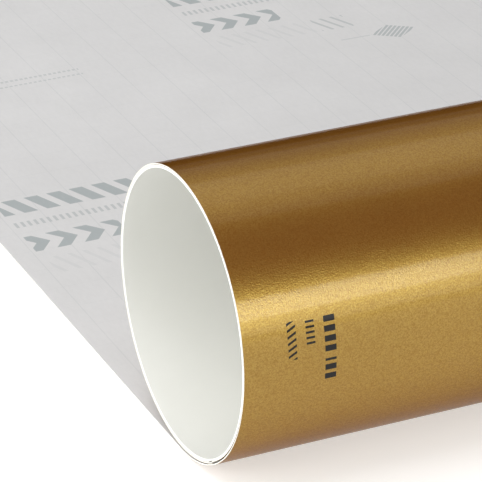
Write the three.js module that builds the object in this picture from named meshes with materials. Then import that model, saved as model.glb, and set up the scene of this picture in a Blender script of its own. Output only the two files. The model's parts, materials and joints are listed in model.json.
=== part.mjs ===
// A roll of metallic sign vinyl on a thin board core, with its film run out flat behind it.
// Millimetres, +Z up. X runs along the roll and Y along the film that lies flat.
// The film lies gold face down, rises under the front of the roll, goes over the top and
// down the back, and tucks in under the roll.
import * as THREE from 'three';

// Driving dimensions.
const WEB_WIDTH = 305;
const CORE_BORE = 76.2;
const CORE_WALL = 0.4;
const FILM_THICKNESS = 0.1;
const ADHESIVE_THICKNESS = 0.03;
const LINER_THICKNESS = 0.14;
const BOND_GAP = 0.01;
const TAPE_SPACE = 0.08;
const LOOSENESS = 0.1;
const LIFT_UNDER_ROLL = 1;
const LIFT_OFF = 1;
const TAKE_UP_END = 320;
const FOLD_LINE = 350;
const SHEET_END = 400;
const BUTT_GAP = 0.05;
const ARC_STEP = 3;
const TAPE_WIDTH = 12;
const TAPE_INSET = 10;

// Angles in degrees round the roll, from +Y towards +Z. The film winds the negative way.
const LOWEST = -90;
const TUCKED_END = -120;
const INNER_TURN_SWEEP = 357;

// Worked out from the driving dimensions.
const WEB_THICKNESS = FILM_THICKNESS + ADHESIVE_THICKNESS + LINER_THICKNESS + 2 * BOND_GAP;
const CORE_RADIUS = CORE_BORE / 2 + CORE_WALL;
const INNER_TURN_RADIUS = CORE_RADIUS + TAPE_SPACE + WEB_THICKNESS;
const ROLL_RADIUS = INNER_TURN_RADIUS + LOOSENESS + WEB_THICKNESS;
const AXIS_HEIGHT = ROLL_RADIUS + LIFT_UNDER_ROLL;
// The rise is an arc that leaves the floor at LIFT_OFF and runs smoothly into the roll's circle.
const RISE_RADIUS = (LIFT_OFF ** 2 + AXIS_HEIGHT ** 2 - ROLL_RADIUS ** 2) / (2 * LIFT_UNDER_ROLL);
const JOIN = -180 - THREE.MathUtils.radToDeg(Math.atan((AXIS_HEIGHT - RISE_RADIUS) / LIFT_OFF));
// The whole part is moved along Y so that its origin is the middle of its footprint.
const FOOTPRINT_SHIFT = (ROLL_RADIUS - SHEET_END) / 2;

// The three layers of the web, as depths below its gold face.
const LAYERS = {
  film: [0, FILM_THICKNESS],
  adhesive: [FILM_THICKNESS + BOND_GAP, FILM_THICKNESS + BOND_GAP + ADHESIVE_THICKNESS],
  liner: [WEB_THICKNESS - LINER_THICKNESS, WEB_THICKNESS],
};

const MATERIALS = {
  film: { color: 0xa8812f, roughness: 0.35, metalness: 0.8 },
  adhesive: { color: 0xcfcfc8, roughness: 0.3, metalness: 0 },
  liner: { color: 0xdcdddd, roughness: 0.55, metalness: 0 },
  core: { color: 0xdedcd2, roughness: 0.8, metalness: 0 },
  tape: { color: 0xe8e4d4, roughness: 0.4, metalness: 0 },
};

const ROLL_CENTRE = new THREE.Vector2(0, AXIS_HEIGHT);
const RISE_CENTRE = new THREE.Vector2(LIFT_OFF, RISE_RADIUS);

// Points on an arc, at its two ends and at each whole step between them.
function arc(centre, radius, from, to) {
  const direction = Math.sign(to - from);
  const angles = [from];
  const rounded = direction > 0 ? Math.floor(from / ARC_STEP) : Math.ceil(from / ARC_STEP);
  for (let k = rounded + direction; direction * (to - k * ARC_STEP) > 0.01; k += direction) {
    angles.push(k * ARC_STEP);
  }
  angles.push(to);
  return angles.map((degrees) => {
    const angle = THREE.MathUtils.degToRad(degrees);
    return new THREE.Vector2(radius * Math.cos(angle), radius * Math.sin(angle)).add(centre);
  });
}

// A closed outline between two depths below the gold face, where path(depth) is a line of points.
function between(path, [near, far]) {
  return [...path(near), ...path(far).reverse()];
}

// The loose outer turn: the rise from the floor, then round the roll to the tucked end.
function outerTurnPath(depth) {
  const rise = arc(RISE_CENTRE, RISE_RADIUS - depth, LOWEST, JOIN);
  const round = arc(ROLL_CENTRE, ROLL_RADIUS - depth, JOIN, TUCKED_END - 360);
  return [...rise, ...round.slice(1)];
}

function innerTurnPath(depth) {
  return arc(ROLL_CENTRE, INNER_TURN_RADIUS - depth, TUCKED_END, TUCKED_END - INNER_TURN_SWEEP);
}

function flatPath(from, to) {
  return (depth) => [new THREE.Vector2(from, depth), new THREE.Vector2(to, depth)];
}

// Pushes an outline in the Y-Z plane out along X, centred on X = 0.
function extrudeAcross(outline, width, hole) {
  const shape = new THREE.Shape(outline);
  if (hole) {
    shape.holes.push(new THREE.Path(hole));
  }
  const geometry = new THREE.ExtrudeGeometry(shape, { depth: width, bevelEnabled: false });
  const yAxis = new THREE.Vector3(0, 1, 0);
  const zAxis = new THREE.Vector3(0, 0, 1);
  const xAxis = new THREE.Vector3(1, 0, 0);
  geometry.applyMatrix4(new THREE.Matrix4().makeBasis(yAxis, zAxis, xAxis));
  geometry.translate(-width / 2, 0, 0);
  return geometry;
}

function addPiece(group, name, material, geometry) {
  const mesh = new THREE.Mesh(geometry, new THREE.MeshStandardMaterial(MATERIALS[material]));
  mesh.name = name;
  group.add(mesh);
}

// The same stretch of web in its three layers: film, adhesive and release liner.
function addWeb(group, stretch, path) {
  for (const [layer, depths] of Object.entries(LAYERS)) {
    addPiece(group, `${layer}_${stretch}`, layer, extrudeAcross(between(path, depths), WEB_WIDTH));
  }
}

// The end of the lying sheet. Its last stretch of liner is a flap that folds back.
function addSheetEnd(group) {
  const start = TAKE_UP_END + BUTT_GAP;
  const pieces = [
    ['film_sheet_end', 'film', start, SHEET_END],
    ['adhesive_sheet_end', 'adhesive', start, SHEET_END],
    ['liner_sheet_end', 'liner', start, FOLD_LINE],
    ['liner_fold_flap', 'liner', FOLD_LINE + BUTT_GAP, SHEET_END],
  ];
  for (const [name, layer, from, to] of pieces) {
    const outline = between(flatPath(from, to), LAYERS[layer]);
    addPiece(group, name, layer, extrudeAcross(outline, WEB_WIDTH));
  }
}

function addCore(group) {
  const outside = arc(ROLL_CENTRE, CORE_RADIUS, 0, 360).slice(1);
  const bore = arc(ROLL_CENTRE, CORE_BORE / 2, 0, 360).slice(1);
  addPiece(group, 'core_tube', 'core', extrudeAcross(outside, WEB_WIDTH, bore));
}

// Double-sided tape that holds the film's inner end to the core.
function addStartTape(group) {
  const sweep = THREE.MathUtils.radToDeg(TAPE_WIDTH / CORE_RADIUS);
  const innerEnd = TUCKED_END - INNER_TURN_SWEEP;
  const path = (radius) => arc(ROLL_CENTRE, radius, innerEnd + sweep, innerEnd);
  const outline = between(path, [CORE_RADIUS + TAPE_SPACE - BOND_GAP, CORE_RADIUS + BOND_GAP]);
  addPiece(group, 'core_start_tape', 'tape', extrudeAcross(outline, WEB_WIDTH - 2 * TAPE_INSET));
}

const roll = new THREE.Group();
roll.position.y = FOOTPRINT_SHIFT;
addSheetEnd(roll);
addWeb(roll, 'take_up', flatPath(LIFT_OFF + BUTT_GAP, TAKE_UP_END));
addWeb(roll, 'outer_turn', outerTurnPath);
addWeb(roll, 'inner_turn', innerTurnPath);
addCore(roll);
addStartTape(roll);

const vinylRoll = new THREE.Group();
vinylRoll.add(roll);

export default vinylRoll;
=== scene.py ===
"""The looks of a roll of metallic sign vinyl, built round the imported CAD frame, in metres.

The web is a laminate: gold film outside, adhesive, and a release liner with a printed back.
It lies flat, gold face down, rises under the front of the roll, goes over the top and tucks in
under the roll. Each CAD solid is faceted, so a smooth piece of the same size stands for it.
"""
import json
import math
from collections import namedtuple

import bmesh
import bpy
import numpy as np
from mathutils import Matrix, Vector


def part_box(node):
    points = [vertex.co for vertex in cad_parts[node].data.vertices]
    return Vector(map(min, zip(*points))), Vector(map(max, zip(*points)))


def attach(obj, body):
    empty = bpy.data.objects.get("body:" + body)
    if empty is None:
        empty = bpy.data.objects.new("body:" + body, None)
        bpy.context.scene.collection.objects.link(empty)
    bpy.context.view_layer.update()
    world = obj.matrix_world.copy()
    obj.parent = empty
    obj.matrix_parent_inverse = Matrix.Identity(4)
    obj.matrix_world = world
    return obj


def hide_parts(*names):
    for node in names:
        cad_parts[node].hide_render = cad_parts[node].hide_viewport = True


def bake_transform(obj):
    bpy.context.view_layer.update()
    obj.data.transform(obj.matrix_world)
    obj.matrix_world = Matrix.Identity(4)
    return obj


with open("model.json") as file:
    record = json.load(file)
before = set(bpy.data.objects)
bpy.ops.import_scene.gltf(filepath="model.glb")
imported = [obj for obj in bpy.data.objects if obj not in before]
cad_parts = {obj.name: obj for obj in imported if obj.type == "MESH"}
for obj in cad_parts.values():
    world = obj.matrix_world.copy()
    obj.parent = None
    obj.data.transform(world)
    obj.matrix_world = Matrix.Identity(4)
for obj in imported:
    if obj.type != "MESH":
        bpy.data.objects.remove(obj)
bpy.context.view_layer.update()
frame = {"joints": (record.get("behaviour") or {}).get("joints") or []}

# Places and sizes from the frame.
JOINTS = {joint["name"]: joint for joint in frame["joints"]}
AXIS_Y, AXIS_Z = JOINTS["roll_turn"]["pos_m"][1:]
HALF_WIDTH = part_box("film_sheet_end")[1].x
SHEET_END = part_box("film_sheet_end")[1].y
FOLD_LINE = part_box("liner_sheet_end")[1].y
TAKE_UP_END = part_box("film_take_up")[1].y
LIFT_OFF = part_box("film_take_up")[0].y
ROLL_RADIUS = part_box("film_outer_turn")[1].z - AXIS_Z
INNER_TURN_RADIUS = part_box("film_inner_turn")[1].z - AXIS_Z
CORE_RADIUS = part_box("core_tube")[1].z - AXIS_Z
DEPTHS = {
    layer: (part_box(f"{layer}_sheet_end")[0].z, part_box(f"{layer}_sheet_end")[1].z)
    for layer in ("film", "adhesive", "liner")
}

# Sizes that the CAD boxes don't show. Angles are in degrees from +Y towards +Z.
LOWEST = -90
TUCKED_END = -120
INNER_TURN_SWEEP = 357
CORE_WALL = 0.0004
CORE_CHAMFER = 0.00008
TAPE_WIDTH = 0.012
TAPE_DEPTHS = (0.00001, 0.00007)

# How finely the pieces are divided.
ARC_STEP = 1.5
ROW_STEP = 0.005
FOLD_ROW_STEP = 0.0005
COLUMNS = 31
CORE_STEPS = 360
SHARP_ANGLE = math.radians(35)

# How far past the fold line the peeled liner bends before it is flat again.
FOLD_BEND = 0.008

# The lying web isn't dead flat. It has low waves, which fade out near the roll and near the fold,
# and an end that still remembers the roll. The still distances are from the roll and the fold line.
WAVE_HEIGHT = 0.0004
WAVE_LENGTH = 0.13
WAVE_DRIFT = 1.8
DRIFT_LENGTH = 0.37
DRIFT_PHASE = 0.6
SWELL_LENGTH = 0.21
SWELL_PHASE = 1.1
STILL_NEAR_ROLL = (0.02, 0.08)
STILL_NEAR_FOLD = (0.06, 0.01)
END_CURL = 0.0016
CORNER_CURL = 0.0014

# The arc that leads from the floor up into the roll's circle.
LIFT = AXIS_Z - ROLL_RADIUS
OFFSET = LIFT_OFF - AXIS_Y
RISE_RADIUS = (OFFSET**2 + AXIS_Z**2 - ROLL_RADIUS**2) / (2 * LIFT)
JOIN = -180 - math.degrees(math.atan((AXIS_Z - RISE_RADIUS) / OFFSET))

# The camera stands as the photographer did: off to the open end's side, looking down.
CAMERA_HEADING = math.radians(24.73)
CAMERA_DROP = math.radians(26.38)
CAMERA_DISTANCE = 0.9314
CAMERA_LENS_MM = 233.8
AIM_FROM_OPEN_END = 0.0657
AIM_BEHIND_AXIS = 0.1053


def smooth_step(value, start, end):
    t = np.clip((value - start) / (end - start), 0, 1)
    return t * t * (3 - 2 * t)


def lift_of_sheet(x, y):
    """How far the lying web stands above the floor: waves as far as the fold line, curl past it."""
    near_roll = smooth_step(y, LIFT_OFF + STILL_NEAR_ROLL[0], LIFT_OFF + STILL_NEAR_ROLL[1])
    near_fold = 1 - smooth_step(y, FOLD_LINE - STILL_NEAR_FOLD[0], FOLD_LINE - STILL_NEAR_FOLD[1])
    drift = WAVE_DRIFT * np.sin(2 * math.pi * x / DRIFT_LENGTH + DRIFT_PHASE)
    wave = 0.5 + 0.5 * np.sin(2 * math.pi * y / WAVE_LENGTH + drift)
    across = 0.6 + 0.4 * np.cos(2 * math.pi * x / SWELL_LENGTH + SWELL_PHASE)
    along_end = np.clip((y - FOLD_LINE - FOLD_BEND) / (SHEET_END - FOLD_LINE - FOLD_BEND), 0, 1)
    corner = np.abs(x / HALF_WIDTH) ** 3
    curl = along_end**2 * (END_CURL + CORNER_CURL * corner)
    return WAVE_HEIGHT * wave * across * near_roll * near_fold + curl


def arc_rows(centre, radius, start, end):
    """Rows along an arc: place (y, z) on the gold face, then the direction of depth."""
    steps = max(1, round(abs(end - start) / ARC_STEP))
    angles = np.radians(np.linspace(start, end, steps + 1))
    outward = np.stack([np.cos(angles), np.sin(angles)], axis=1)
    return np.hstack([np.array(centre) + radius * outward, -outward])


def flat_rows(start, end, fine_until=None):
    """Rows along the floor. All layers share the same rows, so that they lift alike."""
    stops = list(np.arange(LIFT_OFF, SHEET_END, ROW_STEP)) + [FOLD_LINE]
    if fine_until:
        stops += list(np.arange(start, fine_until, FOLD_ROW_STEP))
    margin = ROW_STEP / 20
    places = [start] + sorted(y for y in stops if start + margin < y < end - margin) + [end]
    return np.array([(y, 0, 0, 1) for y in places], float)


def outer_turn_rows():
    rise = arc_rows((LIFT_OFF, RISE_RADIUS), RISE_RADIUS, LOWEST, JOIN)
    turn = arc_rows((AXIS_Y, AXIS_Z), ROLL_RADIUS, JOIN, TUCKED_END - 360)
    return np.vstack([rise, turn[1:]])


def inner_turn_rows():
    end = TUCKED_END - INNER_TURN_SWEEP
    return arc_rows((AXIS_Y, AXIS_Z), INNER_TURN_RADIUS, TUCKED_END, end)


def mesh_piece(name, points, faces, kinds, materials):
    """A piece from points and faces, where kinds says which of the materials each face has."""
    mesh = bpy.data.meshes.new(name)
    mesh.from_pydata([tuple(map(float, p)) for p in points], [], faces)
    for material in materials:
        mesh.materials.append(material)
    mesh.polygons.foreach_set("material_index", kinds)
    shaped = bmesh.new()
    shaped.from_mesh(mesh)
    bmesh.ops.recalc_face_normals(shaped, faces=shaped.faces)
    shaped.to_mesh(mesh)
    shaped.free()
    mesh.shade_smooth()
    mesh.set_sharp_from_angle(angle=SHARP_ANGLE)
    piece = bpy.data.objects.new(name, mesh)
    bpy.context.scene.collection.objects.link(piece)
    return piece


def web_piece(name, rows, depths, columns, materials, lies_flat=False):
    """A closed slab of the web between two depths below its gold face.

    materials are those of the side towards the gold face, of the far side and of the cut edges.
    """
    count, width = len(rows), len(columns)
    sides = []
    for depth in depths:
        y, z = (rows[:, :2] + depth * rows[:, 2:]).T
        side = np.empty((count, width, 3))
        side[:, :, 0] = columns
        side[:, :, 1] = y[:, None]
        side[:, :, 2] = z[:, None]
        if lies_flat:
            side[:, :, 2] += lift_of_sheet(side[:, :, 0], side[:, :, 1])
        sides.append(side.reshape(-1, 3))
    points = np.vstack(sides)
    far = count * width

    def at(row, column):
        return row * width + column

    faces, kinds = [], []
    for row in range(count - 1):
        for column in range(width - 1):
            left, right = column, column + 1
            corners = (at(row, left), at(row, right), at(row + 1, right), at(row + 1, left))
            faces += [corners, tuple(far + c for c in reversed(corners))]
            kinds += [0, 1]
    rim = [at(0, c) for c in range(width)]
    rim += [at(r, width - 1) for r in range(1, count)]
    rim += [at(count - 1, c) for c in range(width - 2, -1, -1)]
    rim += [at(r, 0) for r in range(count - 2, 0, -1)]
    for a, b in zip(rim, rim[1:] + rim[:1]):
        faces.append((b, a, far + a, far + b))
        kinds.append(2)
    return mesh_piece(name, points, faces, kinds, materials)


def ring_piece(name, outline, steps, materials):
    """A closed ring round the roll's axis, from an outline of (x, radius) points."""
    angles = np.radians(np.linspace(0, 360, steps, endpoint=False))
    points = [
        (x, AXIS_Y + radius * math.cos(a), AXIS_Z + radius * math.sin(a))
        for a in angles
        for x, radius in outline
    ]
    size = len(outline)
    faces, kinds = [], []
    for step in range(steps):
        for i in range(size):
            here, there = step * size, (step + 1) % steps * size
            j = (i + 1) % size
            faces.append((here + i, here + j, there + j, there + i))
            level = abs(outline[i][1] - outline[j][1]) < 1e-9
            kinds.append(0 if level else 1)
    return mesh_piece(name, points, faces, kinds, materials)


class Shading:
    """A material's node tree, with a short method for each kind of node it uses."""

    def __init__(self, name):
        self.material = bpy.data.materials.new(name)
        self.material.use_nodes = True
        self.tree = self.material.node_tree
        self.tree.nodes.clear()
        self.place = self.add("ShaderNodeTexCoord").outputs["Object"]

    def add(self, kind, inputs=(), **settings):
        node = self.tree.nodes.new(kind)
        for name, value in settings.items():
            setattr(node, name, value)
        for socket, value in dict(inputs).items():
            if isinstance(value, bpy.types.NodeSocket):
                self.tree.links.new(value, node.inputs[socket])
            else:
                node.inputs[socket].default_value = value
        return node

    def math(self, operation, *values):
        return self.add("ShaderNodeMath", enumerate(values), operation=operation).outputs[0]

    def product(self, *values):
        total = values[0]
        for value in values[1:]:
            total = self.math("MULTIPLY", total, value)
        return total

    def largest(self, *values):
        total = values[0]
        for value in values[1:]:
            total = self.math("MAXIMUM", total, value)
        return total

    def noise(self, scale, detail=2.0, stretch=(1, 1, 1)):
        place = self.add("ShaderNodeMapping", {"Vector": self.place, "Scale": stretch}).outputs[0]
        inputs = {"Vector": place, "Scale": scale, "Detail": detail}
        return self.add("ShaderNodeTexNoise", inputs).outputs[0]

    def grains(self, size):
        """A random value for each grain of a fine pattern."""
        inputs = {"Vector": self.place, "Scale": 1 / size}
        cells = self.add("ShaderNodeTexVoronoi", inputs, feature="F1").outputs["Color"]
        return self.add("ShaderNodeSeparateColor", {0: cells}).outputs[0]

    def between(self, value, low, high):
        """Maps 0 to low and 1 to high."""
        return self.math("MULTIPLY_ADD", value, high - low, low)

    def colours(self, factor, first, second):
        inputs = {0: factor, 6: first, 7: second}
        return self.add("ShaderNodeMix", inputs, data_type="RGBA").outputs[2]

    def bump(self, height, distance, normal=None):
        inputs = {"Height": height, "Distance": distance, "Strength": 1.0}
        if normal:
            inputs["Normal"] = normal
        return self.add("ShaderNodeBump", inputs).outputs[0]

    def principled(self, inputs):
        return self.add("ShaderNodeBsdfPrincipled", inputs).outputs[0]

    def finish(self, shader):
        self.add("ShaderNodeOutputMaterial", {"Surface": shader})
        return self.material


def colour(red, green, blue):
    return (red, green, blue, 1.0)


def shade_of(base, factor):
    return (base[0] * factor, base[1] * factor, base[2] * factor, 1.0)


# A rectangle filled with printed strokes: how far it reaches across and along, the distance from one
# stroke to the next, the share of that distance that is inked, and how strong the ink is.
Block = namedtuple("Block", "across along pitch share strength")

# The gold face: bright flakes in a brown tinted body, under a clear coat.
FLAKE_DARK = colour(0.352, 0.240, 0.040)
FLAKE_BRIGHT = colour(0.784, 0.600, 0.144)
FLAKE_EDGE_TINT = colour(0.30, 0.16, 0.05)
FLAKE_SIZE = 0.00028
FLAKE_SHARE = 0.36
BODY_DARK = colour(0.136, 0.038, 0.005)
BODY_BRIGHT = colour(0.160, 0.046, 0.006)

# The code printed on the gold: across is from the open end, along is round the roll from its front.
CODE_INK = colour(0.012, 0.011, 0.010)
CODE_BLOCKS = Block(across=(0.0223, 0.0254), along=(-0.0128, 0.0049), pitch=0.0026, share=0.62, strength=1)
CODE_GAP = (-0.0026, -0.0012)
CODE_TICKS = Block(across=(0.0173, 0.0197), along=(-0.0126, -0.0056), pitch=0.0014, share=0.42, strength=1)
CODE_DASHES = Block(across=(0.0122, 0.0146), along=(-0.0128, -0.0027), pitch=0.0017, share=0.40, strength=1)
CODE_DASH_LEAN = 0.5

# The liner's print, repeated at these distances, with every second row shifted by half of one.
PRINT_START_X = 0.0075
PRINT_START_Y = 0.088
PRINT_PITCH_X = 0.227
PRINT_PITCH_Y = 0.1325
BARS = Block(across=(0, 0.052), along=(0.0615, 0.0715), pitch=0.0074, share=0.6, strength=1)
TICKS = Block(across=(0, 0.051), along=(0.0525, 0.0560), pitch=0.0021, share=0.45, strength=0.6)
CHEVRONS = Block(across=(0, 0.030), along=(0.0355, 0.0460), pitch=0.0088, share=0.5, strength=1)
CHEVRON_POINT = 0.0408
HATCHING = Block(across=(0.001, 0.036), along=(0.0200, 0.0305), pitch=0.0046, share=0.3, strength=0.16)
DASHES = Block(across=(0.038, 0.050), along=(0.0200, 0.0305), pitch=0.0040, share=0.3, strength=0.6)
UPPER_LINE = Block(across=(0.145, 0.176), along=(0.0235, 0.0248), pitch=0.0017, share=0.6, strength=0.5)
LOWER_LINE = Block(across=(0.145, 0.176), along=(0.0195, 0.0205), pitch=0.0017, share=0.6, strength=0.5)
DIAMOND_CENTRE = (0.060, 0.0100)
DIAMOND_REACH = (0.0085, 0.0060)
DIAMOND_PITCH, DIAMOND_SHARE, DIAMOND_STRENGTH = 0.0020, 0.65, 0.8
TAIL_ACROSS, TAIL_ALONG, TAIL_STRENGTH = (0.0400, 0.0510), (0.0096, 0.0104), 0.35
BAR_LEAN = 0.4
CHEVRON_LEAN = 0.8

# The liner's paper, and the faint rules along and across it.
PAPER = (0.660, 0.653, 0.651)
PRINT_TINT = (0.60, 0.65, 0.66)
RULE_PITCH = 0.0125
RULE_SHARE = 0.028
RULE_STRENGTH = 0.30
CROSS_RULE_STRENGTH = 0.10

# The adhesive's air channels, and the seam of the card tube's spiral.
CHANNEL_PITCH = 0.0011
CHANNEL_SHARE = 0.16
SEAM_PITCH = 0.075
SEAM_SHARE = 0.008


def inside(s, value, low, high):
    """1 where value lies between low and high, 0 elsewhere."""
    return s.math("COMPARE", value, (low + high) / 2, (high - low) / 2)


def strokes(s, value, pitch, share):
    """Parallel strokes, each covering a share of the pitch."""
    place = s.math("FRACT", s.math("DIVIDE", value, pitch))
    return s.math("COMPARE", place, 0.5, share / 2)


def block_of_strokes(s, across, along, block, phase):
    """The ink of one printed block. Its strokes cross the direction in which phase grows."""
    return s.product(
        inside(s, across, *block.across),
        inside(s, along, *block.along),
        strokes(s, phase, block.pitch, block.share),
        block.strength,
    )


def code_marks(s):
    """Three rows of generic marks printed round the roll near its open end."""
    x, y, z = s.add("ShaderNodeSeparateXYZ", {0: s.place}).outputs
    below_axis = s.math("SUBTRACT", AXIS_Z, z)
    before_axis = s.math("SUBTRACT", AXIS_Y, y)
    along = s.math("MULTIPLY", s.math("ARCTAN2", below_axis, before_axis), ROLL_RADIUS)
    from_end = s.math("ADD", x, HALF_WIDTH)
    leaning = s.math("MULTIPLY_ADD", from_end, CODE_DASH_LEAN, along)
    outside_gap = s.math("SUBTRACT", 1.0, inside(s, along, *CODE_GAP))
    blocks = s.product(block_of_strokes(s, from_end, along, CODE_BLOCKS, along), outside_gap)
    ticks = block_of_strokes(s, from_end, along, CODE_TICKS, along)
    dashes = block_of_strokes(s, from_end, along, CODE_DASHES, leaning)
    return s.largest(blocks, ticks, dashes)


def gold_film(marked):
    """Clear-coated vinyl: bright flakes in a brown tinted body."""
    s = Shading("gold_film_face_marked" if marked else "gold_film_face")
    clouds = s.noise(25, 3)
    brightness = s.math(
        "ADD", s.between(s.grains(FLAKE_SIZE), 0.70, 1.30), s.between(clouds, -0.04, 0.04))
    flake_colour = s.colours(s.math("SUBTRACT", brightness, 0.5), FLAKE_DARK, FLAKE_BRIGHT)
    body_colour = s.colours(clouds, BODY_DARK, BODY_BRIGHT)
    flake_share = FLAKE_SHARE
    if marked:
        marks = code_marks(s)
        body_colour = s.colours(marks, body_colour, CODE_INK)
        flake_share = s.math("MULTIPLY_ADD", marks, -FLAKE_SHARE, FLAKE_SHARE)
    orange_peel = s.bump(s.noise(160, 1), 0.00003)
    tilt = s.bump(s.noise(2600, 1), 0.00005, orange_peel)
    coat = {"Normal": tilt, "Coat Weight": 0.42, "Coat Roughness": 0.12, "Coat Normal": orange_peel}
    flakes = s.principled({
        "Base Color": flake_colour,
        "Metallic": 1.0,
        "Roughness": s.between(s.noise(60, 2), 0.31, 0.37),
        "Specular Tint": FLAKE_EDGE_TINT,
        **coat,
    })
    body = s.principled({
        "Base Color": body_colour,
        "Metallic": 0.0,
        "Roughness": 0.6,
        "Specular IOR Level": 0.0,
        **coat,
    })
    return s.finish(s.add("ShaderNodeMixShader", {0: flake_share, 1: body, 2: flakes}).outputs[0])


def plain_material(name, first, second, scale, roughness, bump_scale, bump_height, **more):
    """A material whose colour wanders between two tones, with a fine bump."""
    s = Shading(name)
    tone = s.math("MULTIPLY_ADD", s.math("SUBTRACT", s.noise(scale, 4), 0.5), 2.0, 0.5)
    grain = s.noise(bump_scale, 2)
    inputs = {
        "Base Color": s.colours(tone, first, second),
        "Roughness": s.between(grain, roughness - 0.05, roughness + 0.05),
        "Normal": s.bump(grain, bump_height),
    }
    inputs.update({key.replace("_", " "): value for key, value in more.items()})
    return s.finish(s.principled(inputs))


def diamond_marks(s, u, v):
    """A hatched diamond with a short tail."""
    across = s.math("DIVIDE", s.math("ABSOLUTE", s.math("SUBTRACT", u, DIAMOND_CENTRE[0])), DIAMOND_REACH[0])
    along = s.math("DIVIDE", s.math("ABSOLUTE", s.math("SUBTRACT", v, DIAMOND_CENTRE[1])), DIAMOND_REACH[1])
    in_diamond = s.math("LESS_THAN", s.math("ADD", across, along), 1.0)
    hatching = strokes(s, s.math("SUBTRACT", u, v), DIAMOND_PITCH, DIAMOND_SHARE)
    diamond = s.product(in_diamond, hatching, DIAMOND_STRENGTH)
    tail = s.product(inside(s, u, *TAIL_ACROSS), inside(s, v, *TAIL_ALONG), TAIL_STRENGTH)
    return s.largest(diamond, tail)


def print_marks(s, x, y):
    """A repeated group of generic marks: bars, ticks, chevrons, hatching, lines and a diamond."""
    from_start = s.math("SUBTRACT", y, AXIS_Y + PRINT_START_Y)
    row = s.math("FLOOR", s.math("DIVIDE", from_start, PRINT_PITCH_Y))
    v = s.math("FLOORED_MODULO", from_start, PRINT_PITCH_Y)
    shift = s.math("MULTIPLY", row, PRINT_PITCH_X / 2)
    from_end = s.math("SUBTRACT", x, PRINT_START_X - HALF_WIDTH)
    u = s.math("FLOORED_MODULO", s.math("SUBTRACT", from_end, shift), PRINT_PITCH_X)
    leaning = s.math("MULTIPLY_ADD", v, BAR_LEAN, u)
    from_point = s.math("ABSOLUTE", s.math("SUBTRACT", v, CHEVRON_POINT))
    pointed = s.math("MULTIPLY_ADD", from_point, CHEVRON_LEAN, u)
    blocks = [
        (BARS, leaning),
        (TICKS, u),
        (CHEVRONS, pointed),
        (HATCHING, leaning),
        (DASHES, leaning),
        (UPPER_LINE, u),
        (LOWER_LINE, u),
    ]
    marks = [block_of_strokes(s, u, v, block, phase) for block, phase in blocks]
    return s.largest(*marks, diamond_marks(s, u, v))


def liner_back(printed):
    """Coated white paper, ruled along and across, with a pale blue-grey print on the lying stretch."""
    s = Shading("liner_back_printed" if printed else "liner_back")
    x, y, _ = s.add("ShaderNodeSeparateXYZ", {0: s.place}).outputs
    mottle = s.noise(45, 4)
    fibres = s.noise(900, 2, (1, 0.35, 1))
    tone = s.math("ADD", s.between(mottle, -0.7, 0.7), s.between(fibres, -0.5, 0.5))
    paper = s.colours(s.math("ADD", tone, 0.5), shade_of(PAPER, 0.965), shade_of(PAPER, 1.035))
    uneven = s.between(s.noise(30, 2), 0.2, 1.0)
    from_end = s.math("ADD", x, HALF_WIDTH)
    ink = s.product(strokes(s, from_end, RULE_PITCH, RULE_SHARE), uneven, RULE_STRENGTH)
    if printed:
        cross_rules = s.product(strokes(s, y, RULE_PITCH, RULE_SHARE), uneven, CROSS_RULE_STRENGTH)
        marks = s.product(print_marks(s, x, y), s.between(fibres, 0.9, 1.1))
        ink = s.largest(marks, ink, cross_rules)
    printed_paper = tuple(p * t for p, t in zip(PAPER, PRINT_TINT)) + (1.0,)
    surface = s.colours(ink, paper, printed_paper)
    cockle = s.bump(s.noise(18, 2), 0.0004)
    return s.finish(s.principled({
        "Base Color": surface,
        "Roughness": s.between(mottle, 0.55, 0.68),
        "Specular IOR Level": 0.2,
        "Normal": s.bump(fibres, 0.00002, cockle),
    }))


def adhesive_face():
    """Grey-white pressure-sensitive adhesive with a crossing grid of fine air channels."""
    s = Shading("adhesive_face")
    x, y, _ = s.add("ShaderNodeSeparateXYZ", {0: s.place}).outputs
    first = strokes(s, s.math("ADD", x, y), CHANNEL_PITCH, CHANNEL_SHARE)
    second = strokes(s, s.math("SUBTRACT", x, y), CHANNEL_PITCH, CHANNEL_SHARE)
    channels = s.largest(first, second)
    clouds = s.noise(40, 3)
    glue = s.colours(clouds, colour(0.42, 0.41, 0.38), colour(0.49, 0.48, 0.45))
    surface = s.colours(s.product(channels, 0.4), glue, colour(0.29, 0.28, 0.25))
    return s.finish(s.principled({
        "Base Color": surface,
        "Roughness": s.between(clouds, 0.42, 0.54),
        "Normal": s.bump(s.math("SUBTRACT", s.product(clouds, 0.6), channels), 0.00003),
        "Coat Weight": 0.1,
        "Coat Roughness": 0.35,
    }))


def core_card():
    """Smooth white card, wound in a spiral whose seam shows as a faint line."""
    s = Shading("core_card")
    x, y, z = s.add("ShaderNodeSeparateXYZ", {0: s.place}).outputs
    turn = s.math("ARCTAN2", s.math("SUBTRACT", z, AXIS_Z), s.math("SUBTRACT", y, AXIS_Y))
    wound = s.math("MULTIPLY_ADD", turn, SEAM_PITCH / (2 * math.pi), x)
    seam = strokes(s, wound, SEAM_PITCH, SEAM_SHARE)
    mottle = s.noise(70, 4)
    fibres = s.noise(1100, 3, (0.4, 1, 1))
    card = s.colours(mottle, colour(0.74, 0.74, 0.695), colour(0.775, 0.775, 0.735))
    surface = s.colours(s.product(seam, 0.12), card, colour(0.45, 0.45, 0.42))
    return s.finish(s.principled({
        "Base Color": surface,
        "Roughness": s.between(fibres, 0.68, 0.84),
        "Specular IOR Level": 0.3,
        "Normal": s.bump(s.math("SUBTRACT", s.product(fibres, 0.6), seam), 0.00003),
    }))


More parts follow.
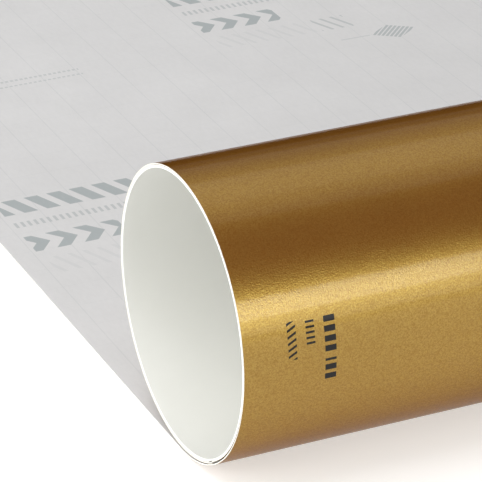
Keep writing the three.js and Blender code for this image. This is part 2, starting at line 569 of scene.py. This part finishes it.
def make_materials():
    return {
        "film": (
            gold_film(marked=False),
            plain_material("film_back", colour(0.45, 0.42, 0.36), colour(0.52, 0.49, 0.42),
                           scale=40, roughness=0.5, bump_scale=800, bump_height=0.00001),
            plain_material("film_cut_edge", colour(0.78, 0.72, 0.56), colour(0.86, 0.82, 0.70),
                           scale=300, roughness=0.5, bump_scale=1500, bump_height=0.00001),
        ),
        "adhesive": (
            adhesive_face(),
            adhesive_face(),
            plain_material("adhesive_edge", colour(0.62, 0.61, 0.57), colour(0.70, 0.69, 0.65),
                           scale=300, roughness=0.4, bump_scale=1500, bump_height=0.00001),
        ),
        "liner": (
            plain_material("liner_release_side", colour(0.56, 0.56, 0.535), colour(0.60, 0.60, 0.575),
                           scale=30, roughness=0.45, bump_scale=120, bump_height=0.00004,
                           Coat_Weight=0.15, Coat_Roughness=0.3),
            liner_back(printed=True),
            plain_material("liner_cut_edge", colour(0.86, 0.86, 0.84), colour(0.92, 0.92, 0.90),
                           scale=400, roughness=0.75, bump_scale=2000, bump_height=0.00002),
        ),
        "marked_gold": gold_film(marked=True),
        "plain_liner_back": liner_back(printed=False),
        "core": (
            core_card(),
            plain_material("core_cut_edge", colour(0.86, 0.86, 0.82), colour(0.93, 0.93, 0.90),
                           scale=500, roughness=0.85, bump_scale=2500, bump_height=0.00003),
        ),
        "tape": (
            plain_material("tape_face", colour(0.76, 0.72, 0.60), colour(0.82, 0.79, 0.68),
                           scale=200, roughness=0.4, bump_scale=900, bump_height=0.00001),
        ),
    }


STRETCHES = {
    "outer_turn": ("outer_turn", outer_turn_rows, "stretched", "core_tube"),
    "inner_turn": ("core_and_inner_turn", inner_turn_rows, "stretched", "core_tube"),
}


def declare(node):
    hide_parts(node)


def add_round_stretches(materials, columns):
    """The outer turn rides with the travelling roll, and the inner turn turns with the core."""
    for stretch, (body, make_rows, held, rests_on) in STRETCHES.items():
        rows = make_rows()
        for layer, depths in DEPTHS.items():
            node = f"{layer}_{stretch}"
            near, far, edge = materials[layer]
            if node == "film_outer_turn":
                near = materials["marked_gold"]
            if layer == "liner":
                far = materials["plain_liner_back"]
            piece = web_piece(f"{node}_smooth", rows, depths, columns, (near, far, edge))
            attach(piece, body)
            declare(node)


def add_take_up(materials, columns):
    """The stretch that is taken up or laid down as the roll travels."""
    rows = flat_rows(LIFT_OFF, TAKE_UP_END)
    for layer, depths in DEPTHS.items():
        node = f"{layer}_take_up"
        piece = web_piece(f"{node}_smooth", rows, depths, columns, materials[layer], lies_flat=True)
        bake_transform(piece)
        declare(node)


def add_sheet_end(materials, columns):
    """The fixed end of the lying sheet, whose liner stops at the fold line."""
    for layer, depths in DEPTHS.items():
        node = f"{layer}_sheet_end"
        end = FOLD_LINE if layer == "liner" else SHEET_END
        rows = flat_rows(TAKE_UP_END, end)
        piece = web_piece(f"{node}_smooth", rows, depths, columns, materials[layer], lies_flat=True)
        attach(piece, "lying_sheet")
        declare(node)


def add_liner_flap(materials, columns):
    """The last stretch of liner, divided finely over the short length past the fold line where the peeled
    liner bends.
    """
    rows = flat_rows(FOLD_LINE, SHEET_END, fine_until=FOLD_LINE + FOLD_BEND)
    name = "liner_fold_flap_smooth"
    piece = web_piece(name, rows, DEPTHS["liner"], columns, materials["liner"], lies_flat=True)
    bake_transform(piece)
    declare("liner_fold_flap")


def add_core(materials):
    bore = CORE_RADIUS - CORE_WALL
    c = CORE_CHAMFER
    half = [(HALF_WIDTH - c, CORE_RADIUS), (HALF_WIDTH, CORE_RADIUS - c), (HALF_WIDTH, bore + c),
            (HALF_WIDTH - c, bore)]
    outline = half + [(-x, radius) for x, radius in reversed(half)]
    core = ring_piece("core_tube_smooth", outline, CORE_STEPS, materials["core"])
    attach(core, "core_and_inner_turn")
    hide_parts("core_tube")


def add_start_tape(materials):
    """Double-sided tape between the core and the web's inner end."""
    low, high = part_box("core_start_tape")
    end = TUCKED_END - INNER_TURN_SWEEP
    sweep = math.degrees(TAPE_WIDTH / CORE_RADIUS)
    inner, outer = (CORE_RADIUS + depth for depth in TAPE_DEPTHS)
    rows = arc_rows((AXIS_Y, AXIS_Z), outer, end + sweep, end)
    columns = np.linspace(low.x, high.x, COLUMNS)
    face = materials["tape"][0]
    tape = web_piece("core_start_tape_smooth", rows, (0, outer - inner), columns, (face, face, face))
    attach(tape, "core_and_inner_turn")
    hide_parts("core_start_tape")


def add_floor():
    """A plain pale floor, a hair below the film."""
    radius = 9.0
    segments = 96
    drop = 0.00003
    shaped = bmesh.new()
    bmesh.ops.create_circle(shaped, cap_ends=True, segments=segments, radius=radius)
    mesh = bpy.data.meshes.new("floor")
    shaped.to_mesh(mesh)
    shaped.free()
    floor = bpy.data.objects.new("floor", mesh)
    floor.location.z = -drop
    bpy.context.scene.collection.objects.link(floor)
    s = Shading("pale_floor")
    mesh.materials.append(s.finish(s.principled({
        "Base Color": s.colours(s.noise(3, 2), colour(0.71, 0.71, 0.71), colour(0.73, 0.73, 0.73)),
        "Roughness": 0.9,
        "Specular IOR Level": 0.1,
        "Emission Color": colour(1.0, 1.0, 1.0),
        "Emission Strength": 0.44,
    })))


def add_softbox(name, centre, size, radiance):
    """A rectangular soft light that faces the middle of the roll and that the camera doesn't see."""
    light = bpy.data.lights.new(name, "AREA")
    light.shape = "RECTANGLE"
    light.size, light.size_y = size
    light.energy = radiance * math.pi * size[0] * size[1]
    box = bpy.data.objects.new(name, light)
    box.location = centre
    towards_roll = Vector((0, AXIS_Y, AXIS_Z)) - Vector(centre)
    box.rotation_euler = towards_roll.to_track_quat("-Z", "Y").to_euler()
    box.visible_camera = False
    bpy.context.scene.collection.objects.link(box)


def add_lights():
    """Each soft light's centre, size and radiance.

    The front strip makes the gold's bright band and the back panels its soft one. The side and high
    boxes light the open end.
    """
    boxes = {
        "front_strip": ((0.13, AXIS_Y - 1.10, 0.470), (0.72, 0.29), 6.8),
        "front_fill": ((0.15, AXIS_Y - 1.15, 0.23), (1.10, 0.26), 1.95),
        "back_panel": ((0.16, AXIS_Y + 0.44, 1.00), (0.9, 0.80), 0.65),
        "wide_back_panel": ((0.40, AXIS_Y + 0.80, 0.90), (1.5, 1.10), 0.39),
        "side_box": ((-1.45, AXIS_Y - 0.35, 0.60), (1.1, 0.9), 6.2),
        "high_box": ((-0.80, AXIS_Y + 0.05, 1.45), (1.2, 1.2), 3.25),
    }
    for name, (centre, size, radiance) in boxes.items():
        add_softbox(name, centre, size, radiance)


# The flag's reach along X, and how far it stands behind the sheet.
FLAG_REACH = (-0.5, 1.5)
FLAG_GAP = 0.03
FLAG_HEIGHT = 0.145
FLAG_DARK = colour(0.004, 0.004, 0.004)
FLAG_LIGHT = colour(0.008, 0.008, 0.008)


def add_flag():
    """A black card past the sheet's end. Only reflections see it: the gold's top edge mirrors it."""
    left, right = FLAG_REACH
    y = SHEET_END + FLAG_GAP
    points = [(left, y, 0), (right, y, 0), (right, y, FLAG_HEIGHT), (left, y, FLAG_HEIGHT)]
    mesh = bpy.data.meshes.new("black_flag")
    mesh.from_pydata(points, [], [(0, 1, 2, 3)])
    flag = bpy.data.objects.new("black_flag", mesh)
    s = Shading("flag_cloth")
    mesh.materials.append(s.finish(s.principled({
        "Base Color": s.colours(s.noise(300, 2), FLAG_DARK, FLAG_LIGHT),
        "Roughness": 1.0,
        "Specular IOR Level": 0.0,
    })))
    flag.visible_camera = flag.visible_diffuse = flag.visible_shadow = False
    bpy.context.scene.collection.objects.link(flag)


# The world's strength at the horizon and overhead, and the sines of the two elevations between
# which it changes.
HORIZON_STRENGTH = 0.56
OVERHEAD_STRENGTH = 0.14
HORIZON_TOP = 0.06
OVERHEAD_START = 0.20


def add_world():
    """A dim studio above and a pale horizon."""
    world = bpy.data.worlds.new("studio")
    world.use_nodes = True
    bpy.context.scene.world = world
    tree = world.node_tree
    tree.nodes.clear()
    direction = tree.nodes.new("ShaderNodeTexCoord").outputs["Generated"]
    split = tree.nodes.new("ShaderNodeSeparateXYZ")
    tree.links.new(direction, split.inputs[0])
    ramp = tree.nodes.new("ShaderNodeMapRange")
    ramp.interpolation_type = "SMOOTHSTEP"
    ramp.inputs["From Min"].default_value = HORIZON_TOP
    ramp.inputs["From Max"].default_value = OVERHEAD_START
    ramp.inputs["To Min"].default_value = HORIZON_STRENGTH
    ramp.inputs["To Max"].default_value = OVERHEAD_STRENGTH
    tree.links.new(split.outputs["Z"], ramp.inputs["Value"])
    background = tree.nodes.new("ShaderNodeBackground")
    tree.links.new(ramp.outputs[0], background.inputs["Strength"])
    background.inputs["Color"].default_value = colour(1.0, 1.0, 1.0)
    output = tree.nodes.new("ShaderNodeOutputWorld")
    tree.links.new(background.outputs[0], output.inputs["Surface"])


def add_camera():
    look = Vector((
        math.sin(CAMERA_HEADING) * math.cos(CAMERA_DROP),
        math.cos(CAMERA_HEADING) * math.cos(CAMERA_DROP),
        -math.sin(CAMERA_DROP),
    ))
    aim = Vector((AIM_FROM_OPEN_END - HALF_WIDTH, AXIS_Y + AIM_BEHIND_AXIS, 0))
    camera = bpy.data.objects.new("camera", bpy.data.cameras.new("camera"))
    camera.data.sensor_width = 36
    camera.data.lens = CAMERA_LENS_MM
    camera.data.clip_start, camera.data.clip_end = 0.01, 100
    camera.location = aim - CAMERA_DISTANCE * look
    camera.rotation_euler = look.to_track_quat("-Z", "Y").to_euler()
    bpy.context.scene.collection.objects.link(camera)
    bpy.context.scene.camera = camera


add_camera()
add_world()
add_lights()
add_flag()
add_floor()
bpy.context.scene.view_settings.view_transform = "Standard"

finishes = make_materials()
web_columns = np.linspace(-HALF_WIDTH, HALF_WIDTH, COLUMNS)
add_sheet_end(finishes, web_columns)
add_take_up(finishes, web_columns)
add_liner_flap(finishes, web_columns)
add_round_stretches(finishes, web_columns)
add_core(finishes)
add_start_tape(finishes)
